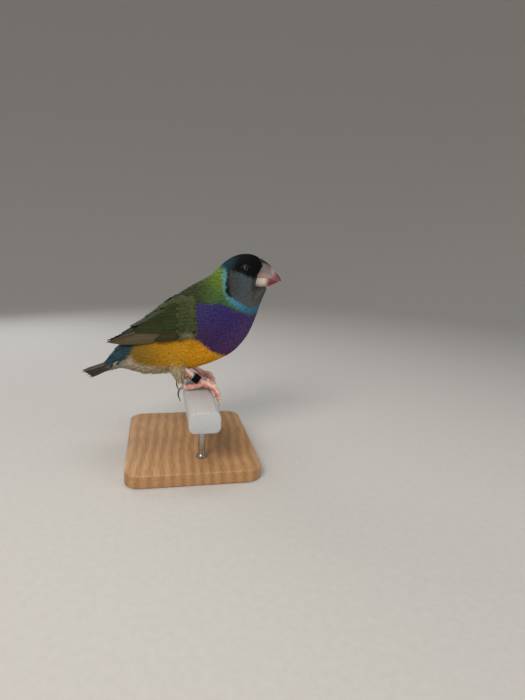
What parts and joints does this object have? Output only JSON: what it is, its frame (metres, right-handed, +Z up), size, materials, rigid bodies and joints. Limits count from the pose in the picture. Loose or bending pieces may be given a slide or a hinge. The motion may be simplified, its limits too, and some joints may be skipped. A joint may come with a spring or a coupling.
{
  "type": "gouldian finch",
  "caption": "Life-size still model of a cock gouldian finch gripping a short flat perch on a plain display stand.",
  "frame": {"origin": "on the stand's underside, straight below the middle of the perch's top face between the bird's feet", "axes": "+Z up, +X the way the bird faces, +Y to the bird's left, along the perch"},
  "size_m": [0.1133, 0.096, 0.1172],
  "materials": {
    "black_plumage": "soft matt feathers with a faint sheen",
    "green_plumage": "soft feathers, bright yellow green",
    "olive_flight_feathers": "smooth overlapping feather vanes, satin",
    "purple_plumage": "soft feathers with a satin sheen",
    "yellow_plumage": "soft feathers, amber yellow",
    "teal_plumage": "soft feathers, dull teal blue",
    "tail_feathers": "smooth pointed feather vanes, near black",
    "white_fluff": "loose white down",
    "pearl_bill": "smooth horn, pearly with a pink red tip",
    "dark_eye": "wet, glossy, near black",
    "pink_leg_skin": "scaly pink skin",
    "horn_claw": "translucent horn",
    "anodised_band": "black anodised aluminium with bare bright rims",
    "white_perch": "smooth extruded white plastic",
    "stand_wood": "satin varnished",
    "stand_steel": "brushed"
  },
  "bodies": {
    "root": {"head": "black_plumage", "bill_upper": "pearl_bill", "bill_lower": "pearl_bill", "eye_right": "dark_eye", "eye_left": "dark_eye", "neck": "green_plumage", "breast": "purple_plumage", "torso": "yellow_plumage", "rump": "teal_plumage", "tail": "tail_feathers", "wing_right": "olive_flight_feathers", "wing_left": "olive_flight_feathers", "thigh_right": "white_fluff", "tarsus_right": "pink_leg_skin", "foot_right": "pink_leg_skin", "claw_right_hind": "horn_claw", "claw_right_inner": "horn_claw", "claw_right_middle": "horn_claw", "claw_right_outer": "horn_claw", "thigh_left": "white_fluff", "tarsus_left": "pink_leg_skin", "foot_left": "pink_leg_skin", "claw_left_hind": "horn_claw", "claw_left_inner": "horn_claw", "claw_left_middle": "horn_claw", "claw_left_outer": "horn_claw", "leg_ring_right": "anodised_band", "perch": "white_perch", "stand_base": "stand_wood", "stand_rod_front": "stand_steel", "stand_rod_back": "stand_steel"}
  },
  "joints": []
}
